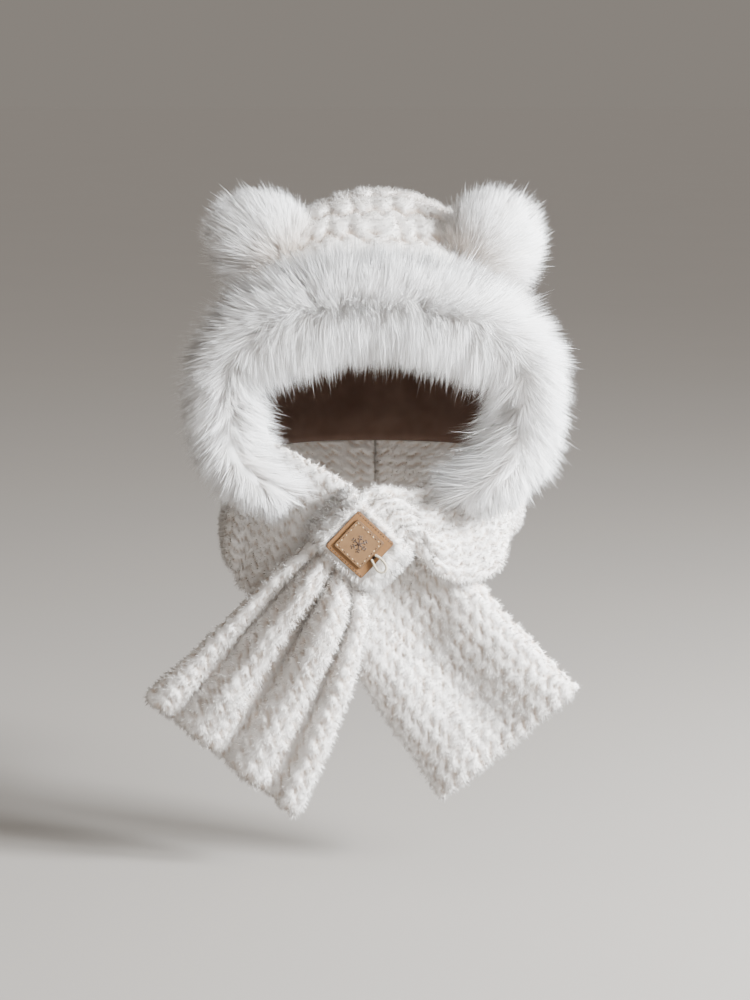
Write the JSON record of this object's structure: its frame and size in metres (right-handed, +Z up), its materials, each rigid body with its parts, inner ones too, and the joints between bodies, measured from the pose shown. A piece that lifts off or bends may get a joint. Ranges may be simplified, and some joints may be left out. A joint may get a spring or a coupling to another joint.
{
  "type": "animal hood scarf",
  "caption": "Plush animal hood with fur ears and a fur ring round the face, and a scarf that crosses through a keeper band in front and hangs in two tails.",
  "frame": {"origin": "the inside of the crown's top, where the hood sits on a head", "axes": "+Z up, the face opening looks along -Y, +X is at the viewer's right"},
  "size_m": [0.3704, 0.2638, 0.5379],
  "materials": {
    "plush": "short warm white plush with woven tufts",
    "long_fur": "long white fur, straight and combed",
    "lining": "smooth dark brown cloth",
    "label_leather": "tan leather with dark stitching",
    "loop_cord": "cream cotton cord"
  },
  "bodies": {
    "root": {"hood_shell": "plush", "hood_lining": "lining", "fur_trim": "long_fur", "ear_left": "long_fur", "ear_right": "long_fur", "scarf_left_half": "plush", "scarf_right_half": "plush", "keeper_band": "plush", "label_base": "label_leather", "label_patch": "label_leather", "cord_loop": "loop_cord"}
  },
  "joints": []
}
